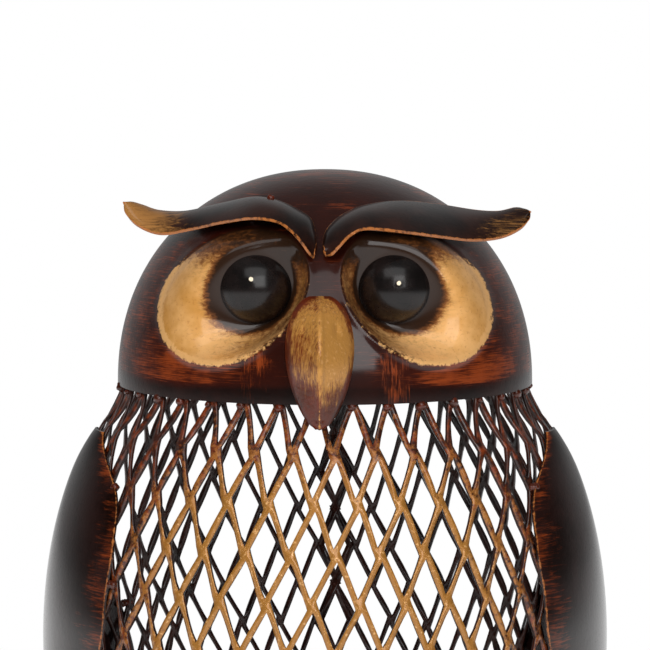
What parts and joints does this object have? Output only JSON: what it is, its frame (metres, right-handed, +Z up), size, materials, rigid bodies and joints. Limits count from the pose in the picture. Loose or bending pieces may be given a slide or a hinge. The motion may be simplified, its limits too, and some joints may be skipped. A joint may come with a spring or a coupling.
{
  "type": "owl figurine",
  "caption": "Owl figurine of lacquered sheet steel with an open expanded-metal barrel body, pressed head, brows, beak, leaf wings, tail, clawed feet and a base stopper.",
  "frame": {"origin": "on the ground under the middle of the bounding box, between the tips of the toes and the tail", "axes": "+Z up, the owl faces -Y, +X to the right as seen from the front"},
  "size_m": [0.1528, 0.149, 0.228],
  "materials": {
    "head_lacquer": "gloss",
    "pupil_enamel": "gloss",
    "brow_lacquer": "gloss",
    "gilding": "satin",
    "mesh_bronze": "satin",
    "wing_lacquer": "satin",
    "base_lacquer": "satin",
    "weld_bronze": "satin",
    "stopper_rubber": "matte"
  },
  "bodies": {
    "owl": {"head_shell": "head_lacquer", "left_pupil": "pupil_enamel", "right_pupil": "pupil_enamel", "left_brow": "brow_lacquer", "right_brow": "brow_lacquer", "beak": "gilding", "mesh_body": "mesh_bronze", "base_pan": "base_lacquer", "left_wing": "wing_lacquer", "right_wing": "wing_lacquer", "left_leg": "base_lacquer", "right_leg": "base_lacquer", "left_foot": "gilding", "right_foot": "gilding", "tail": "wing_lacquer", "rim_welds": "weld_bronze", "base_welds": "weld_bronze", "brow_welds": "weld_bronze", "wing_welds": "weld_bronze", "tail_welds": "weld_bronze"},
    "stopper": {"stopper": "stopper_rubber"}
  },
  "joints": [
    {"name": "stopper_slide", "type": "slide", "parent": "owl", "child": "stopper", "axis": [0, 0, -1], "range_m": [0, 0.03]}
  ]
}
